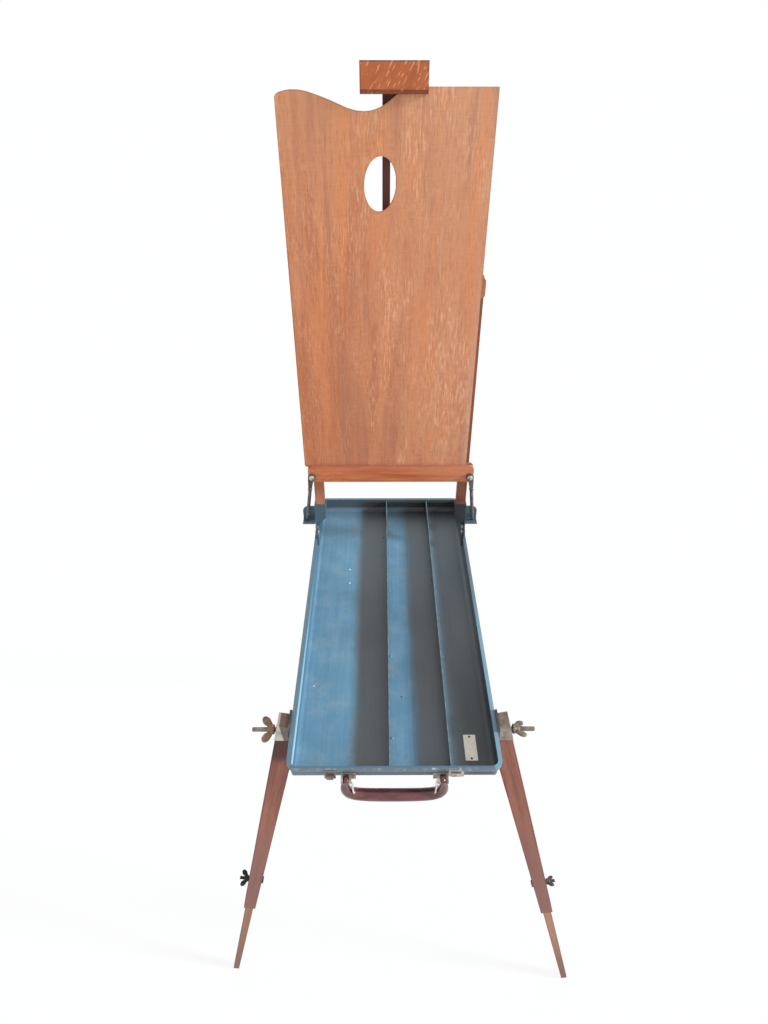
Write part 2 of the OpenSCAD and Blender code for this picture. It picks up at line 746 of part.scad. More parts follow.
// keeper: a strap behind the crossbar that the mast slides in
keeper_x = mast_w/2 + gap;
strap_t = 1.6;

module keeper_pins(grow) {
    both() translate([keeper_x + 8, bar_q + 3, bar_s]) rotate([-90, 0, 0])
        cylinder(h = bar_d, r = 1.6 + grow);
}

module keeper() color("Silver") place() easel() difference() {
    union() {
        translate([-keeper_x - strap_t, bar_q + bar_d, bar_s - 10])
            cube([2*keeper_x + 2*strap_t, gap + mast_t + gap + strap_t, 20]);
        both() translate([keeper_x, bar_q + bar_d, bar_s - 10]) cube([16, strap_t, 20]);
    }
    translate([-keeper_x, bar_q + bar_d - cut, bar_s - 11])
        cube([2*keeper_x, gap + mast_t + gap + cut, 22]);
    translate([0, mast_q, bar_s]) rotate([-90, 0, 0]) cylinder(h = 30, r = bolt_r + 0.01);
    keeper_pins(0.01);
    both() translate([keeper_x + 8, bar_q + bar_d - cut, bar_s]) rotate([-90, 0, 0])
        cylinder(h = 10, r = 1.61);
}

module keeper_screws() color("Silver") place() easel() both()
    translate([keeper_x + 8, 0, bar_s]) rotate([-90, 0, 0]) {
        translate([0, 0, bar_q + 3]) cylinder(h = bar_d - 3 + strap_t, r = 1.6);
        translate([0, 0, bar_q + bar_d + strap_t]) cylinder(h = 1.4, r1 = 3, r2 = 1.6);
    }

module mast_bolt() color("Silver") place() easel() translate([0, 0, bar_s]) rotate([-90, 0, 0]) {
    translate([0, 0, bar_q + 0.3]) cylinder(h = 2.2, r = 5);
    translate([0, 0, bar_q + 2.5]) cylinder(h = mast_q + mast_t + 20 - bar_q - 2.5, r = bolt_r);
}

module mast_wing() color("Gray") place() easel()
    translate([0, mast_q + mast_t + gap + strap_t + 0.3, bar_s]) rotate([-90, 0, 0])
        wing_nut(0.85, bolt_r + run_gap, 30);

module mast() color("SaddleBrown") place() easel() difference() {
    translate([-mast_w/2, mast_q, mast_s]) cube([mast_w, mast_t, mast_top - mast_s]);
    translate([-slot_w/2, mast_q - cut, mast_s + 18 + slot_w/2])
        cube([slot_w, mast_t + 2*cut, block_s - mast_s - 28 - slot_w]);
    for (s = [mast_s + 18 + slot_w/2, block_s - 10 - slot_w/2])
        translate([0, mast_q - cut, s]) rotate([-90, 0, 0])
            cylinder(h = mast_t + 2*cut, r = slot_w/2);
    block_pins(0.01);
}

module block_pins(grow) {
    for (s = [block_s + 9, block_s + 22]) translate([0, mast_q - 12, s]) rotate([-90, 0, 0])
        cylinder(h = 12 + mast_t, r = 1.8 + grow);
}

module clamp_block() color("Sienna") place() easel() difference() {
    translate([-block_w/2, 0, 0]) rotate([90, 0, 90]) linear_extrude(block_w)
        polygon([[block_q + 4, block_s], [block_q, block_s + 4.5], [block_q, block_top],
                 [mast_q, block_top], [mast_q, block_s], [palette_back + 0.4, block_s],
                 [palette_back + 0.4, palette_top + 1], [palette_front - 0.4, palette_top + 1],
                 [palette_front - 0.4, block_s]]);
    block_pins(0.01);
}

module block_screws() color("Silver") place() easel()
    for (s = [block_s + 9, block_s + 22]) translate([0, 0, s]) rotate([-90, 0, 0]) {
        translate([0, 0, mast_q - 12]) cylinder(h = 12 + mast_t, r = 1.8);
        translate([0, 0, mast_q + mast_t]) cylinder(h = 1.6, r1 = 3.6, r2 = 2);
    }

module palette() color("Peru") place() easel() {
    left = -palette_w/2 - palette_shift;
    right = palette_w/2 - palette_shift;
    translate([0, palette_back, 0]) rotate([90, 0, 0]) linear_extrude(palette_t) difference() {
        polygon(concat([[left + 4, palette_s], [left + 1, palette_s + 1], [left, palette_s + 4]],
                       [for (p = wave) [left + p[0] - palette_flare*(1 - p[0]/165), palette_top - p[1]]],
                       [[right + palette_flare, palette_top], [right, palette_s + 4],
                        [right - 1, palette_s + 1], [right - 4, palette_s]]));
        translate([-hole_left, palette_top - hole_down]) rotate(-4)
            polygon([for (i = [0:47]) [hole_w*cos(i*7.5), hole_h*sin(i*7.5)]]);
    }
}

tray();
divider_a();
divider_b();
divider_rivets();
bare_plate();
plate_rivets();
handle_grip();
handle_loops();
handle_staples();
clasp();
catch_plate();
leg_bracket_l();
leg_bracket_r();
leg_studs();
bracket_rivets();
leg_l_outer();
leg_l_cap();
leg_l_inner();
leg_l_wing();
leg_l_bolt();
leg_l_nut();
leg_r_outer();
leg_r_cap();
leg_r_inner();
leg_r_wing();
leg_r_bolt();
leg_r_nut();
leg_b_bracket();
leg_b_pin();
leg_b_outer();
leg_b_inner();
leg_b_wing();
leg_b_bolt();
leg_b_nut();
stay_bracket_l();
stay_bracket_r();
pivot_ear_l();
pivot_ear_r();
pivot_rivets();
shoe_l();
shoe_r();
stile_l();
stile_r();
crossbar();
ledge();
ledge_screw();
stay_screws();
keeper();
keeper_screws();
mast_bolt();
mast_wing();
mast();
clamp_block();
block_screws();
palette();
stay_l();
stay_r();
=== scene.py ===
import bmesh, bpy, json, math
from mathutils import Matrix, Vector


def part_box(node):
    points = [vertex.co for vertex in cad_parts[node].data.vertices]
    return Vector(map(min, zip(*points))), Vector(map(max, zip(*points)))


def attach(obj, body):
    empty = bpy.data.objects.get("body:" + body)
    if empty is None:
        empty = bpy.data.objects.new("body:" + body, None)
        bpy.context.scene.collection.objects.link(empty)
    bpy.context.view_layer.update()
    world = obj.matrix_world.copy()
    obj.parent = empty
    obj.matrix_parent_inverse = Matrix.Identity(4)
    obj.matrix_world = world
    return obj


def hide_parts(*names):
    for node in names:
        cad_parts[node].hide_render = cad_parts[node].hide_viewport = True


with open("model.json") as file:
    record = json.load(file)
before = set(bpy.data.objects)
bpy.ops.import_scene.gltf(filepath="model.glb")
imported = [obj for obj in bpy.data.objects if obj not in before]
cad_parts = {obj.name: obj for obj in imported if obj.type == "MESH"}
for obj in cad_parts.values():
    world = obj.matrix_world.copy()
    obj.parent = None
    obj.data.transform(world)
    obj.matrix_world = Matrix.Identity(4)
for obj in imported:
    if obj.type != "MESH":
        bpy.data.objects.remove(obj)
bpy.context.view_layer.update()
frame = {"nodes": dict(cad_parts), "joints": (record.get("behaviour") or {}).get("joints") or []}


# Room and camera
# The box stands on a pale studio floor. The camera looks down on it from the painter's place.
# One broad cool window lies low on the right; the rest is even white light from all round.
def shade(r, g, b):
    """A colour read off as 0 to 255 display values, as the linear colour that a shader wants."""
    def part(v):
        v = v / 255
        return v / 12.92 if v <= 0.04045 else ((v + 0.055) / 1.055) ** 2.4
    return (part(r), part(g), part(b), 1.0)


def fill(tree, node, sockets):
    """Gives each named or numbered input of a node its value, or links it to an output."""
    for name, value in sockets.items():
        if isinstance(value, bpy.types.NodeSocket):
            tree.links.new(value, node.inputs[name])
        else:
            node.inputs[name].default_value = value
    return node


def put(tree, kind, sockets=(), **settings):
    """Adds one shader node with its settings and inputs."""
    node = tree.nodes.new("ShaderNode" + kind)
    for name, value in settings.items():
        setattr(node, name, value)
    return fill(tree, node, dict(sockets))


def reckon(tree, kind, a, b=0.0, c=0.0):
    """One Math node's output."""
    return put(tree, "Math", {0: a, 1: b, 2: c}, operation=kind).outputs[0]


def seen_directly(tree):
    """1 for rays that show the background: straight, mirrored or through glass."""
    path = put(tree, "LightPath")
    seen = reckon(tree, "MAXIMUM", path.outputs["Is Camera Ray"], path.outputs["Is Glossy Ray"])
    return reckon(tree, "MAXIMUM", seen, path.outputs["Is Transmission Ray"])


eye = bpy.data.objects.new("painters_eye", bpy.data.cameras.new("painters_eye"))
bpy.context.collection.objects.link(eye)
eye.data.lens, eye.data.sensor_width, eye.data.sensor_fit = 22.852, 36.0, "AUTO"
eye.data.clip_start, eye.data.clip_end = 0.01, 100.0
eye.location = (-0.03438, -0.83565, 1.501)
heading, pitch, roll = math.radians(-0.3), math.radians(53.2), math.radians(0.1)
eye.rotation_euler = (Matrix.Rotation(heading, 3, "Z") @ Matrix.Rotation(pitch, 3, "X")
                      @ Matrix.Rotation(roll, 3, "Z")).to_euler()
bpy.context.scene.camera = eye
bpy.context.scene.view_settings.view_transform = "Standard"

AMBIENT = 0.68
sky = bpy.context.scene.world or bpy.data.worlds.new("sky")
bpy.context.scene.world = sky
sky.use_nodes = True
sky.node_tree.nodes.clear()
level = reckon(sky.node_tree, "MULTIPLY_ADD", seen_directly(sky.node_tree), 1 - AMBIENT, AMBIENT)
glow = put(sky.node_tree, "Background", {"Color": (1, 1, 1, 1), "Strength": level})
sky_out = sky.node_tree.nodes.new("ShaderNodeOutputWorld")
sky.node_tree.links.new(glow.outputs[0], sky_out.inputs["Surface"])

window = bpy.data.objects.new("window_light", bpy.data.lights.new("window_light", "SUN"))
bpy.context.collection.objects.link(window)
window.data.energy, window.data.angle = 4.0, math.radians(9)
window.data.color = (0.86, 0.95, 1.0)
low, round_to_front = math.radians(24), math.radians(9)
towards = Vector((math.cos(low) * math.cos(round_to_front),
                  -math.cos(low) * math.sin(round_to_front), math.sin(low)))
window.rotation_euler = towards.to_track_quat("Z", "Y").to_euler()

FLOOR_REACH, FLOOR_GLOW = 30, 0.88
ground = bpy.data.meshes.new("studio_floor")
corners = [(x * FLOOR_REACH, y * FLOOR_REACH, 0) for x, y in ((-1, -1), (1, -1), (1, 1), (-1, 1))]
ground.from_pydata(corners, [], [(0, 1, 2, 3)])
floor = bpy.data.objects.new("studio_floor", ground)
bpy.context.collection.objects.link(floor)
pale_floor = bpy.data.materials.new("pale_floor")
pale_floor.use_nodes = True
tree = pale_floor.node_tree
tree.nodes.clear()
matt = put(tree, "BsdfDiffuse", {"Color": (0.86, 0.86, 0.86, 1)})
white = put(tree, "Emission", {"Color": (1, 1, 1, 1), "Strength": 1.0})
share = reckon(tree, "MULTIPLY", seen_directly(tree), FLOOR_GLOW)
both = put(tree, "MixShader", {0: share, 1: matt.outputs[0], 2: white.outputs[0]})
tree.links.new(both.outputs[0], tree.nodes.new("ShaderNodeOutputMaterial").inputs["Surface"])
ground.materials.append(pale_floor)


# Tray, dividers and their rivets
# A pan pressed from thin sheet steel with its rim turned out, and two L-section dividers riveted
# to its floor. All of it was brushed with blue-grey enamel, now dusty, stained and chipped.
def new_group(name, ins, outs):
    """A shader node group with its sockets: kind C colour, F value, V vector."""
    kinds = {"C": "NodeSocketColor", "F": "NodeSocketFloat", "V": "NodeSocketVector"}
    group = bpy.data.node_groups.new(name, "ShaderNodeTree")
    for label, (kind, value) in ins.items():
        socket = group.interface.new_socket(label, in_out="INPUT", socket_type=kinds[kind])
        if value is not None:
            socket.default_value = value
    for label, kind in outs.items():
        group.interface.new_socket(label, in_out="OUTPUT", socket_type=kinds[kind])
    return group, group.nodes.new("NodeGroupInput").outputs, group.nodes.new("NodeGroupOutput").inputs


def product(tree, first, *others):
    """The masks multiplied together."""
    for other in others:
        first = reckon(tree, "MULTIPLY", first, other)
    return first


def blend(tree, factor, a, b):
    """Mixes two colours and gives the mixed colour's socket."""
    return put(tree, "Mix", {0: factor, 6: a, 7: b}, data_type="RGBA").outputs[2]


def scaled(tree, tone, level):
    """The colour made lighter or darker by a level."""
    return put(tree, "VectorMath", {0: tone, "Scale": level}, operation="SCALE").outputs["Vector"]


def speckle(tree, place, scale, detail=3.0, rough=0.55, warp=0.0):
    """Soft noise from 0 to 1 about 0.5."""
    return put(tree, "TexNoise", {"Vector": place, "Scale": scale, "Detail": detail,
                                  "Roughness": rough, "Distortion": warp}).outputs["Fac"]


def ramp(tree, value, low, high, out_low=0.0, out_high=1.0):
    """Maps low to high on to out_low to out_high, with soft ends."""
    return put(tree, "MapRange", {"Value": value, "From Min": low, "From Max": high,
                                  "To Min": out_low, "To Max": out_high},
               interpolation_type="SMOOTHSTEP").outputs["Result"]


def stretched(tree, place, x, y, z):
    """The place with each axis scaled."""
    return put(tree, "Mapping", {"Vector": place, "Scale": (x, y, z)}).outputs["Vector"]


def split(tree, vector):
    """The x, y and z of a place or a direction."""
    return put(tree, "SeparateXYZ", {0: vector}).outputs


def facing(tree):
    """How the face is turned, in the piece's own directions."""
    return put(tree, "TexCoord").outputs["Normal"]


worn_edge, gi, go = new_group(
    "worn_edge",
    {"Place": ("V", None), "Radius": ("F", 0.0015), "Breakup": ("F", 120.0)},
    {"Edge": "F", "Broken edge": "F"})
g = worn_edge
rounded = put(g, "Bevel", {"Radius": gi["Radius"]}, samples=6).outputs["Normal"]
flat = put(g, "NewGeometry").outputs["Normal"]
along = put(g, "VectorMath", {0: rounded, 1: flat}, operation="DOT_PRODUCT").outputs["Value"]
edge = ramp(g, along, 0.995, 0.86)
patch = ramp(g, speckle(g, gi["Place"], gi["Breakup"], 4, 0.65), 0.47, 0.6)
g.links.new(edge, go["Edge"])
g.links.new(product(g, edge, patch), go["Broken edge"])

enamel_skin, gi, go = new_group(
    "enamel_skin",
    {"Place": ("V", None), "Paint": ("C", None), "Faded": ("C", None), "Dust": ("C", None),
     "Bare": ("C", None), "Upright shade": ("C", None), "Edge": ("F", 0.0), "Soil and shade": ("F", 0.0),
     "Rubbed": ("F", 0.0)},
    {"Colour": "C", "Roughness": "F", "Height": "F"})
g = enamel_skin
cloud = ramp(g, speckle(g, gi["Place"], 9, 4, 0.6, 0.4), 0.35, 0.7)
brushed = speckle(g, stretched(g, gi["Place"], 260, 9, 260), 1.0, 4, 0.6)
tone = scaled(g, blend(g, cloud, gi["Paint"], gi["Faded"]), ramp(g, brushed, 0.25, 0.8, 0.9, 1.08))
up = split(g, facing(g))["Z"]
lying = ramp(g, up, 0.6, 0.98)
fluff = ramp(g, speckle(g, gi["Place"], 34, 6, 0.7), 0.42, 0.75)
veil = product(g, fluff, lying, 0.42)
tone = blend(g, veil, tone, gi["Dust"])
# Painted shade: upright faces are darkened towards the wall colour.
upright = ramp(g, reckon(g, "ABSOLUTE", up), 0.75, 0.2, 0.0, 0.72)
tone = blend(g, upright, tone, gi["Upright shade"])
# The soil mask greys the paint: real soil and painted shade together.
tone = blend(g, gi["Soil and shade"], tone, shade(96, 94, 88))
dots = put(g, "TexVoronoi", {"Vector": gi["Place"], "Scale": 85.0, "Randomness": 1.0}).outputs["Distance"]
some = ramp(g, speckle(g, gi["Place"], 14, 2), 0.55, 0.66)
spots = product(g, ramp(g, dots, 0.11, 0.06), some, 0.6)
tone = blend(g, spots, tone, shade(38, 44, 48))
bald = product(g, gi["Rubbed"], ramp(g, speckle(g, gi["Place"], 150, 5, 0.7), 0.3, 0.62))
tone = blend(g, reckon(g, "MAXIMUM", bald, gi["Edge"]), tone, gi["Bare"])
gloss = reckon(g, "MULTIPLY_ADD", veil, 0.35, 0.36)
uneven = product(g, speckle(g, gi["Place"], 60, 3), 0.16)
peel = product(g, speckle(g, gi["Place"], 420, 2, 0.5), 0.5)
g.links.new(tone, go["Colour"])
g.links.new(reckon(g, "ADD", gloss, uneven), go["Roughness"])
g.links.new(reckon(g, "SUBTRACT", peel, product(g, gi["Edge"], 0.8)), go["Height"])


def new_coat(name):
    """An empty material: its tree, the place on the piece in metres, and its Principled shader."""
    coat = bpy.data.materials.new(name)
    coat.use_nodes = True
    tree = coat.node_tree
    tree.nodes.clear()
    skin = put(tree, "BsdfPrincipled")
    tree.links.new(skin.outputs[0], tree.nodes.new("ShaderNodeOutputMaterial").inputs["Surface"])
    return coat, tree, put(tree, "TexCoord").outputs["Object"], skin


def use(tree, group, sockets):
    """Places a node group in a tree and gives its outputs."""
    node = tree.nodes.new("ShaderNodeGroup")
    node.node_tree = group
    return fill(tree, node, sockets).outputs


def relief(tree, skin, height, strength, depth):
    """Bumps the surface by a height from 0 to 1 times the depth in metres."""
    bump = put(tree, "Bump", {"Height": height, "Strength": strength, "Distance": depth})
    tree.links.new(bump.outputs["Normal"], skin.inputs["Normal"])


def lacquer(skin, weight, roughness):
    """A thin clear coat over the shader."""
    skin.inputs["Coat Weight"].default_value = weight
    skin.inputs["Coat Roughness"].default_value = roughness


def enamel(name, paint, faded, bare, wall, breakup=110.0, dirt_and_shade=None, marks=None):
    """Brushed enamel. The wall colour darkens upright faces as painted shade. The dirt function gives the
    masks of soil, partly painted shade, and of rubbed paint; the marks function adds what lies on top,
    painted light and shade among it."""
    coat, tree, place, skin = new_coat(name)
    worn = use(tree, worn_edge, {"Place": place, "Radius": 0.0016, "Breakup": breakup})
    soil_and_shade, rubbed = dirt_and_shade(tree, place) if dirt_and_shade else (0.0, 0.0)
    out = use(tree, enamel_skin, {"Place": place, "Paint": paint, "Faded": faded, "Bare": bare,
                                  "Upright shade": wall, "Dust": shade(142, 158, 164), "Soil and shade": soil_and_shade,
                                  "Edge": worn["Broken edge"], "Rubbed": rubbed})
    tone = marks(tree, place, out["Colour"]) if marks else out["Colour"]
    tree.links.new(tone, skin.inputs["Base Color"])
    tree.links.new(out["Roughness"], skin.inputs["Roughness"])
    skin.inputs["Specular IOR Level"].default_value = 0.5
    lacquer(skin, 0.15, 0.25)
    relief(tree, skin, out["Height"], 0.35, 0.0006)
    return coat


def dress(names, coat):
    """Gives these CAD nodes their finish."""
    for name in names.split():
        for slot in frame["nodes"][name].material_slots:
            slot.material = coat


tray_low, tray_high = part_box("tray")
left_divider, right_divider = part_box("divider_a")[0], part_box("divider_b")[0]
RIM_WIDTH, SOIL_AND_SHADE_TO_EDGE = 0.00515, 0.0036
RIM_Z, FLOOR_Z = tray_high[2], left_divider[2]
FRONT_WALL_Y, LEFT_BEND_X = tray_low[1] + RIM_WIDTH, tray_low[0] + RIM_WIDTH
# Where each band of soil and painted shadow ends at its right, at a divider or by the right wall, and its
# width
soil_and_shadow_bands = ((left_divider[0], 0.050), (right_divider[0], 0.042), (tray_high[0] - SOIL_AND_SHADE_TO_EDGE, 0.060))
# Drops of white and dark paint on the floor: place from side to side and front to back, and radius
white_drops = ((-0.0890, 0.0106, 0.0016), (-0.0877, -0.0236, 0.0016), (-0.1312, -0.2386, 0.0011))
dark_drops = ((-0.0300, 0.0980, 0.0020), (-0.0136, 0.1678, 0.0018), (-0.0062, -0.2577, 0.0014),
              (0.0513, -0.0165, 0.0016))


def wandering(tree, place, x):
    """The place from side to side, with an uneven shift for soft borders."""
    return reckon(tree, "MULTIPLY_ADD", speckle(tree, stretched(tree, place, 20, 6, 20), 1.0), 0.012, x)


def on_rim(tree, z):
    """1 on the rim's upper face."""
    return ramp(tree, z, RIM_Z - 0.0012, RIM_Z - 0.0002)


def pan_soil_and_shade(tree, place):
    """Grey soil mixed with painted shadow beside the dividers, painted shade at the rear, and paint rubbed
    thin on the rim.
    """
    x, y, z = split(tree, place)
    soft_x = wandering(tree, place, x)
    # Painted shade: the floor greys towards the rear.
    soil_and_shade = ramp(tree, y, 0.10, 0.19, 0.0, 0.4)
    inside = ramp(tree, y, FRONT_WALL_Y + 0.001, FRONT_WALL_Y + 0.002, 0.0, 0.72)
    # Each band left of a divider or of the right wall is half grey soil and half painted shadow of it.
    for right, wide in soil_and_shadow_bands:
        start = right - wide
        band = product(tree, ramp(tree, soft_x, start, start + 0.016), ramp(tree, x, right + 0.002, right))
        soil_and_shade = reckon(tree, "MAXIMUM", soil_and_shade, product(tree, band, inside))
    return soil_and_shade, product(tree, on_rim(tree, z), 0.25)


def pan_marks(tree, place, tone):
    """The greyed front wall and rim, a painted highlight along the left bend, painted light on the front
    of the right rim, painted shade on the left wall, at the front of the right compartment and at the
    rear, chips by the handle and drops of paint."""
    x, y, z = split(tree, place)
    soft_x = wandering(tree, place, x)
    rim_top = on_rim(tree, z)
    front = ramp(tree, y, FRONT_WALL_Y + 0.001, FRONT_WALL_Y)
    tone = blend(tree, product(tree, front, 0.75), tone, shade(104, 118, 126))
    tone = blend(tree, product(tree, rim_top, 0.65), tone, shade(88, 104, 114))

    inner_rim = ramp(tree, y, FRONT_WALL_Y - 0.0032, FRONT_WALL_Y - 0.001, 0.0, 0.7)
    tone = blend(tree, product(tree, front, rim_top, inner_rim), tone, shade(66, 104, 128))

    # Painted shade: the left wall and its bend, which face the light, are darkened.
    painted_shade_left_wall = product(tree, ramp(tree, x, LEFT_BEND_X + 0.006, LEFT_BEND_X),
                        ramp(tree, z, RIM_Z - 0.0005, RIM_Z - 0.002, 0.0, 0.78))
    tone = blend(tree, painted_shade_left_wall, tone, shade(54, 82, 98))

    lip = product(tree, ramp(tree, z, RIM_Z - 0.0045, RIM_Z - 0.001),
                  ramp(tree, y, FRONT_WALL_Y - 0.0015, FRONT_WALL_Y - 0.004))
    by_handle = product(tree, ramp(tree, x, 0.005, 0.03, 0.3, 1.0), ramp(tree, x, 0.085, 0.06, 0.3, 1.0))
    chips = ramp(tree, speckle(tree, place, 170, 5, 0.7), 0.5, 0.62)
    tone = blend(tree, product(tree, front, lip, chips, by_handle), tone, shade(176, 190, 198))

    # Painted light: the front part of the right rim's top is lighter blue, as lit from the right.
    painted_light_right_front = product(tree, ramp(tree, x, 0.104, 0.108), ramp(tree, y, -0.02, -0.2))
    tone = blend(tree, product(tree, painted_light_right_front, rim_top, 0.8), tone, shade(122, 162, 188))

    # Painted highlight: a thin light line along the left wall's bend to the floor, fading towards the
    # rear.
    off_bend = reckon(tree, "ABSOLUTE", reckon(tree, "SUBTRACT", x, LEFT_BEND_X))
    painted_highlight = product(tree, ramp(tree, off_bend, 0.0010, 0.0002), ramp(tree, y, 0.05, -0.34, 0.1, 0.8),
                    ramp(tree, z, RIM_Z - 0.004, RIM_Z - 0.01),
                    ramp(tree, y, FRONT_WALL_Y + 0.004, FRONT_WALL_Y + 0.008))
    tone = blend(tree, painted_highlight, tone, shade(166, 208, 228))

    # Painted shade: the front of the right compartment by the right wall, and the rear of the middle and
    # right compartments, are darkened below the rim.
    below_rim = ramp(tree, z, RIM_Z - 0.003, RIM_Z - 0.008)
    painted_shade_near_right = product(tree, ramp(tree, x, 0.055, 0.085), ramp(tree, y, -0.12, -0.30, 0.0, 0.62))
    tone = blend(tree, product(tree, painted_shade_near_right, below_rim), tone, shade(26, 32, 36))
    rear = product(tree, ramp(tree, soft_x, -0.085, 0.07, 0.6, 1.0), ramp(tree, y, 0.10, 0.18, 0.0, 0.8),
                   ramp(tree, soft_x, -0.09, -0.05))
    tone = blend(tree, product(tree, rear, below_rim), tone, shade(16, 18, 20))

    for drops, colour in ((white_drops, shade(232, 238, 240)), (dark_drops, shade(34, 40, 44))):
        for drop_x, drop_y, radius in drops:
            away = put(tree, "VectorMath", {0: place, 1: (drop_x, drop_y, FLOOR_Z)}, operation="DISTANCE")
            tone = blend(tree, ramp(tree, away.outputs["Value"], radius, radius * 0.7), tone, colour)
    return tone


# On the pan the wall colour is painted shade on upright faces, the soil masks carry painted shade too, and
# the marks add painted light and shade.
dress("tray divider_a divider_b divider_rivets bracket_rivets",
      enamel("pan_enamel", paint=shade(92, 142, 172), faded=shade(84, 128, 152),
             bare=shade(140, 156, 164), wall=shade(74, 96, 108), dirt_and_shade=pan_soil_and_shade, marks=pan_marks))


# Bare plate in the right compartment
# A small plain sheet of dull aluminium, held to the tray's floor by two steel rivets.
# Nothing is stamped or printed on it; it is only scuffed and a little stained.
plated_skin, gi, go = new_group(
    "plated_skin",
    {"Place": ("V", None), "Metal": ("C", None), "Tarnish": ("C", None), "Amount": ("F", 0.5),
     "Edge": ("F", 0.0)},
    {"Colour": "C", "Roughness": "F", "Height": "F", "Clean": "F"})
g = plated_skin
film = product(g, speckle(g, gi["Place"], 55, 5, 0.65, 0.3), 0.65)
pit = speckle(g, gi["Place"], 380, 4, 0.7)
spread = reckon(g, "SUBTRACT", 0.78, product(g, gi["Amount"], 0.5))
stain = ramp(g, reckon(g, "ADD", film, product(g, pit, 0.35)),
             reckon(g, "SUBTRACT", spread, 0.12), reckon(g, "ADD", spread, 0.12))
left_dull = product(g, stain, reckon(g, "SUBTRACT", 1.0, product(g, gi["Edge"], 0.7)))
tone = scaled(g, blend(g, left_dull, gi["Metal"], gi["Tarnish"]), ramp(g, pit, 0.2, 0.8, 0.86, 1.1))
g.links.new(tone, go["Colour"])
g.links.new(reckon(g, "MULTIPLY_ADD", left_dull, 0.3, 0.3), go["Roughness"])
g.links.new(reckon(g, "SUBTRACT", 1.0, product(g, left_dull, 0.55)), go["Clean"])
g.links.new(product(g, pit, reckon(g, "MULTIPLY_ADD", left_dull, 0.8, 0.2)), go["Height"])


def plated(name, metal, tarnish, amount, metallic=0.85, wash=None):
    """Dull plated or bare metal with tarnish and bright rubbed edges."""
    coat, tree, place, skin = new_coat(name)
    worn = use(tree, worn_edge, {"Place": place, "Radius": 0.0008, "Breakup": 260.0})
    out = use(tree, plated_skin, {"Place": place, "Metal": metal, "Tarnish": tarnish,
                                  "Amount": amount, "Edge": worn["Edge"]})
    tone = wash(tree, place, out["Colour"]) if wash else out["Colour"]
    tree.links.new(tone, skin.inputs["Base Color"])
    tree.links.new(out["Roughness"], skin.inputs["Roughness"])
    tree.links.new(product(tree, out["Clean"], metallic), skin.inputs["Metallic"])
    relief(tree, skin, out["Height"], 0.3, 0.0004)
    return coat


dress("bare_plate", plated("dull_aluminium", shade(240, 236, 224), shade(206, 198, 182), 0.35, 0.1))
dress("plate_rivets", plated("rivet_steel", shade(120, 116, 110), shade(70, 64, 58), 0.5))


# Handle, clasp and catch plate
# The grip is dark red-brown moulded plastic, polished by hands. Its ends hang on pins in two plated
# staples, with a wire loop inside each; a small clasp and a plate sit beside them on the wall.
grip_plastic, tree, place, skin = new_coat("polished_grip")
worn = use(tree, worn_edge, {"Place": place, "Radius": 0.002, "Breakup": 180.0})
swirl = speckle(tree, stretched(tree, place, 30, 120, 120), 1.0, 5, 0.6, 1.2)
tone = blend(tree, ramp(tree, swirl, 0.3, 0.72), shade(78, 34, 36), shade(112, 56, 54))
rub = ramp(tree, speckle(tree, place, 140, 5, 0.7), 0.55, 0.75)
tone = blend(tree, product(tree, rub, 0.3), tone, shade(140, 96, 88))
tone = blend(tree, product(tree, worn["Broken edge"], 0.5), tone, shade(150, 110, 98))
tree.links.new(tone, skin.inputs["Base Color"])
tree.links.new(reckon(tree, "MULTIPLY_ADD", rub, 0.25, 0.2), skin.inputs["Roughness"])
lacquer(skin, 0.5, 0.2)
relief(tree, skin, speckle(tree, place, 700, 3), 0.15, 0.0003)


def own_piece(name, mesh, coat, body, node):
    """Makes a piece of its own that rides on a body and stands for a CAD node."""
    piece = bpy.data.objects.new(name, mesh)
    bpy.context.collection.objects.link(piece)
    mesh.materials.append(coat)
    for face in mesh.polygons:
        face.use_smooth = True
    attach(piece, body)
    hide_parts(node)


def between(stations, t):
    """A smooth curve through the stations, each a tuple of numbers."""
    i = min(int(t), len(stations) - 2)
    f = t - i
    a, b, c, d = (stations[min(max(k, 0), len(stations) - 1)] for k in (i - 1, i, i + 1, i + 2))
    return [0.5 * (2 * q + (r - p) * f + (2 * p - 5 * q + 4 * r - e) * f * f
                   + (3 * q - p - 3 * r + e) * f ** 3) for p, q, r, e in zip(a, b, c, d)]


MM = 0.001
FRONT_EDGE = Vector(((tray_low[0] + tray_high[0]) / 2, tray_low[1], tray_high[2]))


def bent_rod(work, stations, steps, sides=28):
    """Sweeps an oval along stations of x, z, y, radius in the plane and radius across it, in mm
    from the middle of the tray's front edge."""
    last, near = len(stations) - 1, 0.02
    rings = []
    for k in range(steps + 1):
        t = last * k / steps
        x, z, y, flat_r, deep_r = between(stations, t)
        x0, z0 = between(stations, max(t - near, 0))[:2]
        x1, z1 = between(stations, min(t + near, last))[:2]
        run = Vector((x1 - x0, 0, z1 - z0)).normalized()
        side = Vector((run.z, 0, -run.x))
        ring = []
        for m in range(sides):
            turn = 2 * math.pi * m / sides
            spot = Vector((x, y + deep_r * math.sin(turn), z)) + side * flat_r * math.cos(turn)
            ring.append(work.verts.new(spot * MM + FRONT_EDGE))
        rings.append(ring)
    for one, two in zip(rings, rings[1:]):
        for m in range(sides):
            n = (m + 1) % sides
            work.faces.new((one[m], one[n], two[n], two[m]))
    work.faces.new(rings[0][::-1])
    work.faces.new(rings[-1])


def finished(name, work):
    """Turns the work mesh into mesh data with outward faces."""
    bmesh.ops.recalc_face_normals(work, faces=work.faces)
    mesh = bpy.data.meshes.new(name)
    work.to_mesh(mesh)
    work.free()
    return mesh


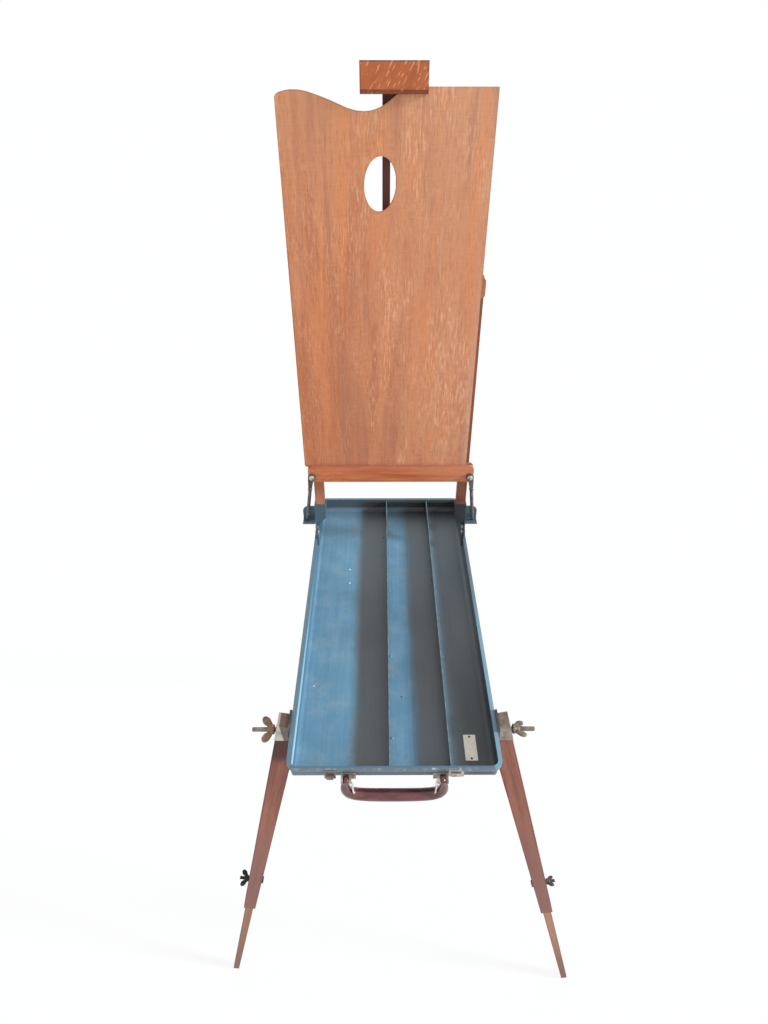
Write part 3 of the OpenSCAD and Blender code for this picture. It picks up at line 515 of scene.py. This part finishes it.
# Stations from the horn's tip at the pin, round the corner and to the middle of the grip
grip_middle = (0.0, -48.4, -5.0, 7.5, 8.2)
half_grip = [(60.0, -7.2, -7.0, 0.9, 1.2), (60.0, -7.8, -7.0, 2.4, 3.2), (60.0, -9.3, -7.0, 3.5, 4.7),
             (60.2, -12.0, -7.0, 3.85, 5.2), (60.4, -17.0, -7.0, 3.85, 5.3),
             (60.9, -20.5, -7.0, 4.8, 5.5), (61.2, -26.0, -6.9, 6.0, 6.0),
             (60.4, -33.0, -6.4, 7.0, 6.8), (56.8, -39.3, -6.0, 7.4, 7.4),
             (51.0, -43.4, -5.6, 7.5, 7.7), (43.0, -46.0, -5.3, 7.5, 7.9),
             (30.0, -47.6, -5.1, 7.5, 8.1), (15.0, -48.2, -5.0, 7.5, 8.2)]
mirrored = [(-x, z, y, flat_r, deep_r) for x, z, y, flat_r, deep_r in half_grip]
work = bmesh.new()
bent_rod(work, mirrored + [grip_middle] + half_grip[::-1], 150)
own_piece("moulded_grip", finished("moulded_grip", work), grip_plastic, "handle", "handle_grip")

work = bmesh.new()
for side in (-1, 1):
    bent_rod(work, [(side * 56.4, -12.0, -7.0, 1.5, 1.5), (side * 53.2, -12.2, -7.2, 1.5, 1.5),
                    (side * 52.0, -14.5, -8.2, 1.3, 1.6), (side * 51.8, -24.0, -9.8, 1.3, 1.6),
                    (side * 51.2, -34.0, -9.6, 1.3, 1.6), (side * 50.0, -42.0, -8.0, 1.3, 1.6)], 40, 14)
own_piece("wire_loops", finished("wire_loops", work),
          plated("bright_wire", shade(232, 228, 220), shade(176, 164, 150), 0.3, 0.7),
          "handle", "handle_loops")
dress("handle_staples catch_plate", plated("aged_nickel", shade(196, 190, 180), shade(112, 92, 76), 0.5))
dress("clasp", plated("dark_clasp", shade(150, 142, 136), shade(92, 84, 80), 0.6, 0.7))


# Front legs and rear leg
# Each leg is a tapered length of mahogany with a grooved back, in which a thinner leg slides.
# The varnish has gone dusty and pinkish; the edges are dark with handling. The left leg's top carries a
# painted shadow of the tray.
wood_grain, gi, go = new_group(
    "wood_grain",
    {"Along": ("V", None), "Body": ("C", None), "Dark": ("C", None), "Light": ("C", None),
     "Fleck": ("C", None), "Stripes": ("F", 0.5), "Flecks": ("F", 0.5), "Edge": ("F", 0.0),
     "Edge tone": ("C", None)},
    {"Colour": "C", "Roughness": "F", "Height": "F"})
g = wood_grain
fibre = speckle(g, stretched(g, gi["Along"], 1, 1, 0.045), 850, 4, 0.65, 0.15)
ribbon = speckle(g, stretched(g, gi["Along"], 1, 1, 0.05), 130, 3, 0.55, 0.6)
board = speckle(g, stretched(g, gi["Along"], 1, 1, 0.09), 26, 3, 0.5, 0.4)
tone = blend(g, ramp(g, board, 0.3, 0.72), gi["Dark"], gi["Light"])
tone = blend(g, 0.5, tone, gi["Body"])
tone = blend(g, product(g, ramp(g, ribbon, 0.36, 0.68), gi["Stripes"]), tone, gi["Light"])
tone = blend(g, product(g, ramp(g, ribbon, 0.46, 0.25), gi["Stripes"]), tone, gi["Dark"])
dash = speckle(g, stretched(g, gi["Along"], 1, 1, 0.14), 620, 2, 0.5)
patches = ramp(g, speckle(g, stretched(g, gi["Along"], 1, 1, 0.3), 20, 3, 0.6, 0.5), 0.4, 0.66)
tone = blend(g, product(g, ramp(g, dash, 0.54, 0.68), patches, gi["Flecks"]), tone, gi["Fleck"])
pore = ramp(g, fibre, 0.43, 0.3)
tone = blend(g, product(g, pore, 0.4), tone, gi["Dark"])
tone = blend(g, gi["Edge"], scaled(g, tone, ramp(g, fibre, 0.25, 0.75, 0.9, 1.1)), gi["Edge tone"])
g.links.new(tone, go["Colour"])
g.links.new(ramp(g, ribbon, 0.2, 0.8, 0.5, 0.66), go["Roughness"])
g.links.new(reckon(g, "SUBTRACT", product(g, fibre, 0.5), product(g, pore, 0.6)), go["Height"])


def wood(name, along, body, dark, light, fleck, edge_tone, stripes=0.5, flecks=0.5, edge=0.7,
         radius=0.002, varnish=0.06, shift=(0, 0, 0), scale=1.0, wash=None):
    """Mahogany with its grain along the given direction; scale makes the grain finer."""
    coat, tree, place, skin = new_coat(name)
    turn = Vector(along).normalized().rotation_difference(Vector((0, 0, 1))).to_euler()
    lain = put(tree, "Mapping", {"Vector": place, "Rotation": turn, "Location": shift,
                                 "Scale": (scale, scale, scale)}).outputs["Vector"]
    worn = use(tree, worn_edge, {"Place": place, "Radius": radius, "Breakup": 90.0})
    rim = reckon(tree, "MULTIPLY_ADD", worn["Broken edge"], 0.2, product(tree, worn["Edge"], 0.8))
    out = use(tree, wood_grain, {"Along": lain, "Body": body, "Dark": dark, "Light": light,
                                 "Fleck": fleck, "Stripes": stripes, "Flecks": flecks,
                                 "Edge": product(tree, rim, edge), "Edge tone": edge_tone})
    tone = wash(tree, place, out["Colour"]) if wash else out["Colour"]
    tree.links.new(tone, skin.inputs["Base Color"])
    tree.links.new(out["Roughness"], skin.inputs["Roughness"])
    skin.inputs["Specular IOR Level"].default_value = 0.3
    lacquer(skin, varnish, 0.35)
    relief(tree, skin, out["Height"], 0.3, 0.0003)
    return coat


def dusty_leg(tree, place, tone):
    """The outer leg gets dustier and pinker towards its lower end."""
    z = split(tree, place)["Z"]
    return blend(tree, ramp(tree, z, 0.58, 0.40, 0.0, 0.55), tone, shade(128, 90, 84))


def leg_with_painted_tray_shadow(tree, place, tone):
    """The left leg's upper end has dark brown painted on as the tray's shadow."""
    wander = reckon(tree, "MULTIPLY_ADD", speckle(tree, place, 40, 3), 0.012, split(tree, place)["Z"])
    # Painted shadow of the tray above a wavering line.
    tone = blend(tree, ramp(tree, wander, 0.684, 0.716, 0.0, 0.85), tone, shade(66, 32, 22))
    return dusty_leg(tree, place, tone)


def worn_foot(tree, place, tone):
    """The sliding leg gets darker and greyer towards the ground."""
    z = split(tree, place)["Z"]
    return blend(tree, ramp(tree, z, 0.20, 0.02, 0.0, 0.6), tone, shade(112, 78, 68))


joints = {joint["name"]: joint for joint in frame["joints"]}
inner_tones = dict(body=shade(164, 112, 84), dark=shade(128, 82, 60), light=shade(184, 134, 104),
                   fleck=shade(200, 154, 126), stripes=0.4, flecks=0.3, wash=worn_foot)
for tag, side, top in (("l", -1, leg_with_painted_tray_shadow), ("r", 1, dusty_leg)):
    down_leg = -Vector(joints[f"leg_{tag}_slide"]["axis"])
    dress(f"leg_{tag}_outer",
          wood(f"leg_{tag}_mahogany", down_leg, body=shade(148, 86, 68), dark=shade(108, 58, 44),
               light=shade(170, 110, 92), fleck=shade(188, 138, 120), edge_tone=shade(48, 26, 22),
               flecks=0.4, edge=0.95, radius=0.0035, shift=(side, 0.3, 0), wash=top))
    dress(f"leg_{tag}_inner",
          wood(f"leg_{tag}_inner_wood", down_leg, edge_tone=shade(70, 42, 34), edge=0.85,
               radius=0.003, shift=(side, 0.7, 0), **inner_tones))
down_leg = -Vector(joints["leg_b_slide"]["axis"])
dress("leg_b_outer",
      wood("leg_b_mahogany", down_leg, body=shade(144, 86, 74), dark=shade(106, 58, 48),
           light=shade(166, 108, 96), fleck=shade(184, 136, 122), edge_tone=shade(54, 30, 26),
           flecks=0.4, edge=0.9, wash=dusty_leg))
dress("leg_b_inner", wood("leg_b_inner_wood", down_leg, edge_tone=shade(78, 48, 38), **inner_tones))


# Leg caps, studs and wing nuts
# A folded steel cap wraps each front leg's top. The stud is fixed to the tray's bracket and a
# cast wing nut on it locks the leg; a smaller bolt and nut lock the sliding leg.
def cap_side_in_painted_shade(tree, place, tone):
    """The left cap is rubbed bright outside a slanting line; beyond it, on the side towards the tray, dark
    brown is painted on as shade.
    """
    low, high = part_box("leg_l_cap")
    slant = 0.0041 / (high[2] - low[2])
    line = low[0] + 0.0132 + low[2] * slant
    soft = 0.0008
    x, _, z = split(tree, place)
    past = reckon(tree, "MULTIPLY_ADD", z, slant, x)
    # Painted shade on the cap's side towards the tray.
    return blend(tree, ramp(tree, past, line - soft, line + soft, 0.0, 0.85), tone, shade(92, 74, 66))


dress("leg_l_cap",
      plated("cap_steel_l", shade(204, 198, 192), shade(150, 138, 128), 0.35, 0.75, cap_side_in_painted_shade))
dress("leg_r_cap", plated("cap_steel_r", shade(176, 164, 152), shade(122, 104, 92), 0.55, 0.75))
dress("leg_bracket_l leg_bracket_r", plated("bracket_steel", shade(120, 118, 114), shade(64, 60, 58), 0.7))
dress("leg_studs leg_b_pin mast_bolt", plated("stud_steel", shade(150, 142, 132), shade(96, 78, 66), 0.55))
dress("leg_l_bolt leg_b_bolt", plated("black_bolt", shade(70, 62, 58), shade(34, 28, 26), 0.7, 0.7))
dress("leg_r_bolt", plated("grey_bolt", shade(120, 108, 100), shade(72, 58, 52), 0.6, 0.7))


def cast_nut(name, coat, spread, foot, bore, size):
    """A cast wing nut on its own joint: a tapered boss with a bore and two rounded petals along
    the spread. The foot is how far its base lies along the joint's axis, in mm."""
    boss = [(bore, 0), (6.1, 0), (6.5, 0.5), (6.5, 1.6), (5.7, 5.5), (5.1, 8.6), (4.6, 9.5), (bore, 9.5)]
    sides = 40
    work = bmesh.new()
    rings = []
    for m in range(sides):
        turn = 2 * math.pi * m / sides
        rings.append([work.verts.new((r * math.cos(turn), r * math.sin(turn), z)) for r, z in boss])
    for m in range(sides):
        one, two = rings[m], rings[(m + 1) % sides]
        for k in range(len(boss)):
            n = (k + 1) % len(boss)
            work.faces.new((one[k], two[k], two[n], one[n]))

    # Each petal is a long oval and a thicker one at its root: x, z, length, width and thickness
    petal, root, lean = (10.3, 10.7, 7.4, 5.4, 2.1), (7.2, 6.6, 3.7, 3.5, 2.7), math.radians(47)
    for side in (-1, 1):
        for x, z, long, wide, thick in (petal, root):
            shape = (Matrix.Translation((side * x, 0, z)) @ Matrix.Rotation(side * lean, 4, "Y")
                     @ Matrix.Diagonal((wide, thick, long, 1)))
            bmesh.ops.create_uvsphere(work, u_segments=24, v_segments=14, radius=1, matrix=shape)

    raw = bpy.data.objects.new("raw_nut", finished("raw_nut", work))
    bpy.context.collection.objects.link(raw)
    fuse = raw.modifiers.new("fuse", "REMESH")
    fuse.mode, fuse.voxel_size = "VOXEL", 0.55
    soften = raw.modifiers.new("soften", "SMOOTH")
    soften.factor, soften.iterations = 0.5, 5
    mesh = bpy.data.meshes.new_from_object(raw.evaluated_get(bpy.context.evaluated_depsgraph_get()))
    bpy.data.objects.remove(raw)
    mesh.name = name

    joint = joints[name + "_turn"]
    axis = Vector(joint["axis"]).normalized()
    out = (Vector(spread) - axis * Vector(spread).dot(axis)).normalized()
    turned = Matrix((out, axis.cross(out), axis)).transposed().to_4x4()
    base = Vector(joint["pos_m"]) + axis * foot * MM
    mesh.transform(Matrix.Translation(base) @ turned @ Matrix.Scale(MM * size, 4))
    own_piece(name + "_cast", mesh, coat, name, name)


brown_cast = plated("brown_casting", shade(176, 142, 116), shade(116, 88, 70), 0.55, 0.6)
grey_cast = plated("grey_casting", shade(164, 152, 138), shade(108, 96, 84), 0.6, 0.7)
black_cast = plated("black_casting", shade(70, 62, 58), shade(34, 28, 26), 0.7, 0.7)
dark_grey_cast = plated("dark_grey_casting", shade(120, 108, 100), shade(72, 58, 52), 0.6, 0.7)
LEG_BORE, MAST_BORE, SMALL_BORE = 3.35, 3.0, 3.4
MAST_SIZE, SMALL_SIZE = 0.85, 0.74
cast_nut("leg_l_wing", brown_cast, (0, 0.82, 0.57), -1.663, LEG_BORE, 1.0)
cast_nut("leg_r_wing", grey_cast, (0, -0.95, 0.31), -1.663, LEG_BORE, 1.0)
cast_nut("leg_b_wing", brown_cast, (0, 1, 0), -1.4, LEG_BORE, 1.0)
cast_nut("mast_wing", brown_cast, (0.866, 0, 0.5), 11.5, MAST_BORE, MAST_SIZE)
cast_nut("leg_l_nut", black_cast, (0, 0.915, 0.4), -1.97, SMALL_BORE, SMALL_SIZE)
cast_nut("leg_r_nut", dark_grey_cast, (0, 0.87, -0.5), -1.97, SMALL_BORE, SMALL_SIZE)
cast_nut("leg_b_nut", black_cast, (0, 0.87, -0.5), 11.03, SMALL_BORE, SMALL_SIZE)


# Easel frame: shoes, stiles, bar, ledge and stays
# Two mahogany stiles stand in painted steel shoes on pivot ears, joined by a crossbar and a ledge.
# Two steel stays, each a flat tongue with a rod below it, hang from round-headed screws at the
# ledge's ends and stand in brackets on the tray.
# The wall colour of the shoe enamels is painted shade on their upright faces.
dress("leg_b_bracket pivot_ear_l shoe_l stay_bracket_l stay_bracket_r",
      enamel("shoe_enamel", paint=shade(62, 88, 104), faded=shade(58, 78, 90),
             bare=shade(128, 142, 150), wall=shade(78, 102, 114), breakup=90.0))
# Painted shade: the right shoe and its ear get a darker copy of the shoe enamel, as they stand in shade.
dress("shoe_r pivot_ear_r",
      enamel("shoe_enamel_in_painted_shade", paint=shade(44, 52, 56), faded=shade(38, 42, 44),
             bare=shade(90, 96, 98), wall=shade(34, 37, 39), breakup=90.0))
UPRIGHT, ACROSS = (0, 0, 1), (1, 0, 0)
dress("stile_l",
      wood("stile_l_mahogany", UPRIGHT, body=shade(196, 120, 84), dark=shade(150, 84, 58),
           light=shade(214, 142, 104), fleck=shade(220, 160, 124), edge_tone=shade(92, 50, 38),
           flecks=0.3, shift=(0.5, 0, 0)))
# Painted shade: the right stile is a darker copy of the left stile's mahogany, as it stands in shade.
dress("stile_r",
      wood("stile_r_mahogany_in_painted_shade", UPRIGHT, body=shade(130, 74, 50), dark=shade(92, 48, 32),
           light=shade(150, 92, 64), fleck=shade(164, 110, 82), edge_tone=shade(62, 32, 24),
           flecks=0.3, shift=(0.9, 0, 0)))
dress("crossbar",
      wood("crossbar_mahogany", ACROSS, body=shade(160, 100, 74), dark=shade(112, 64, 46),
           light=shade(186, 126, 96), fleck=shade(204, 150, 120), edge_tone=shade(82, 46, 38),
           flecks=0.3, edge=0.6))


def handled_ledge(tree, place, tone):
    """The ledge's top has gone pale and dusty, and its right half is a little paler too."""
    up = split(tree, facing(tree))["Z"]
    tone = blend(tree, ramp(tree, up, 0.5, 0.9, 0.0, 0.7), tone, shade(150, 104, 88))
    x = split(tree, place)["X"]
    return blend(tree, ramp(tree, x, 0.0, 0.12, 0.0, 0.35), tone, shade(214, 142, 112))


dress("ledge",
      wood("ledge_mahogany", ACROSS, body=shade(206, 112, 66), dark=shade(166, 80, 46),
           light=shade(224, 138, 90), fleck=shade(234, 166, 124), edge_tone=shade(118, 62, 42),
           stripes=0.55, flecks=0.3, edge=0.6, radius=0.0014, varnish=0.15, wash=handled_ledge))
dress("stay_l stay_r", plated("stay_steel", shade(110, 107, 99), shade(72, 69, 64), 0.6, 0.5))
dress("pivot_rivets stay_screws ledge_screw keeper_screws block_screws",
      plated("nickel_screws", shade(206, 198, 186), shade(130, 108, 90), 0.4))
dress("keeper", plated("keeper_steel", shade(140, 136, 130), shade(86, 76, 68), 0.5))


# Mast and clamp block
# The mast is a dark slotted strip that slides behind the crossbar; the block on its top end is
# quarter-sawn wood with pale flecks and holds the palette's upper edge.
dress("mast",
      wood("mast_wood", UPRIGHT, body=shade(96, 54, 44), dark=shade(64, 34, 28),
           light=shade(120, 74, 60), fleck=shade(156, 110, 92), edge_tone=shade(50, 28, 24),
           flecks=0.2))


def flecks_and_painted_underside_shade(tree, place, tone):
    """Short pale ray flecks that lean to the right, and painted shade on the underside."""
    lean = put(tree, "Mapping", {"Vector": place, "Rotation": (0, math.radians(-32), 0)}).outputs["Vector"]
    dash = speckle(tree, stretched(tree, lean, 420, 420, 105), 1.0, 1, 0.5)
    tone = blend(tree, ramp(tree, dash, 0.61, 0.70, 0.0, 0.62), tone, shade(240, 172, 124))
    # Painted shade: faces that look down are darkened.
    up = split(tree, facing(tree))["Z"]
    return blend(tree, ramp(tree, up, -0.4, -0.8, 0.0, 0.75), tone, shade(84, 44, 34))


SLANTING = (0.42, 0.1, 0.9)
dress("clamp_block",
      wood("block_wood", SLANTING, body=shade(186, 98, 54), dark=shade(160, 78, 44),
           light=shade(200, 112, 66), fleck=shade(238, 174, 124), edge_tone=shade(64, 34, 26),
           stripes=0.2, edge=1.0, radius=0.004, varnish=0.12, scale=1.3, wash=flecks_and_painted_underside_shade))


# Palette
# One thin mahogany board with a cut-out top edge and a thumb hole. Its face is oiled, paler and greyer
# near the top where hands and rags have worn it, with a thin dark edge all round that is painted shade. It
# is painted paler towards the right as light and darker, redder low on the left as shade.
def palette_wash(tree, place, tone):
    """Paler and greyer towards the top, paler to the right as painted light, darker and redder low on the
    left as painted shade, light and dark bands and grain, a pale strip low on the right, a dark line at
    the foot as painted shade and faint ripples across."""
    x, _, z = split(tree, place)
    high = reckon(tree, "MULTIPLY_ADD", speckle(tree, place, 7, 3), 0.16, z)
    across = reckon(tree, "MULTIPLY_ADD", speckle(tree, place, 9, 3), 0.12, x)
    tone = blend(tree, ramp(tree, high, 1.32, 1.56, 0.0, 0.5), tone, shade(206, 150, 112))
    # Painted light: paler towards the right.
    tone = blend(tree, ramp(tree, across, -0.04, 0.17, 0.0, 0.3), tone, shade(222, 166, 134))
    # Painted shade: darker and redder low on the left.
    painted_shade_low_left = product(tree, ramp(tree, across, 0.06, -0.08), ramp(tree, high, 1.35, 1.05, 0.0, 0.42))
    tone = blend(tree, painted_shade_low_left, tone, shade(184, 104, 66))

    band = speckle(tree, stretched(tree, place, 46, 46, 2.6), 1.0, 3, 0.55, 0.5)
    tone = blend(tree, ramp(tree, band, 0.5, 0.66, 0.0, 0.5), tone, shade(178, 116, 90))
    tone = blend(tree, ramp(tree, band, 0.48, 0.34, 0.0, 0.5), tone, shade(224, 140, 88))

    grain = speckle(tree, stretched(tree, place, 520, 520, 62), 1.0, 2, 0.6)
    where = ramp(tree, speckle(tree, stretched(tree, place, 24, 24, 6), 1.0, 3), 0.42, 0.6)
    more_right = ramp(tree, across, -0.06, 0.06, 0.45, 1.0)
    light = product(tree, ramp(tree, grain, 0.53, 0.64), where, more_right, 0.62)
    tone = blend(tree, light, tone, shade(238, 180, 142))
    tone = blend(tree, product(tree, ramp(tree, grain, 0.44, 0.34), 0.3), tone, shade(168, 100, 72))

    strip = product(tree, ramp(tree, x, 0.094, 0.104), ramp(tree, high, 1.34, 1.16, 0.0, 0.4))
    tone = blend(tree, strip, tone, shade(206, 162, 144))
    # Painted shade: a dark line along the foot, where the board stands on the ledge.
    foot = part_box("palette")[0][2]
    tone = blend(tree, ramp(tree, z, foot + 0.0032, foot + 0.0014, 0.0, 0.8), tone, shade(92, 50, 40))
    ripple = speckle(tree, stretched(tree, place, 60, 60, 520), 1.0, 3, 0.6)
    return scaled(tree, tone, ramp(tree, ripple, 0.3, 0.7, 0.965, 1.035))


# The dark edge tone all round the board is painted shade on its rounded edges.
dress("palette",
      wood("palette_mahogany", UPRIGHT, body=shade(206, 130, 88), dark=shade(184, 106, 68),
           light=shade(216, 144, 104), fleck=shade(240, 184, 144), edge_tone=shade(80, 50, 38),
           edge=0.95, radius=0.0028, scale=1.7, wash=palette_wash))
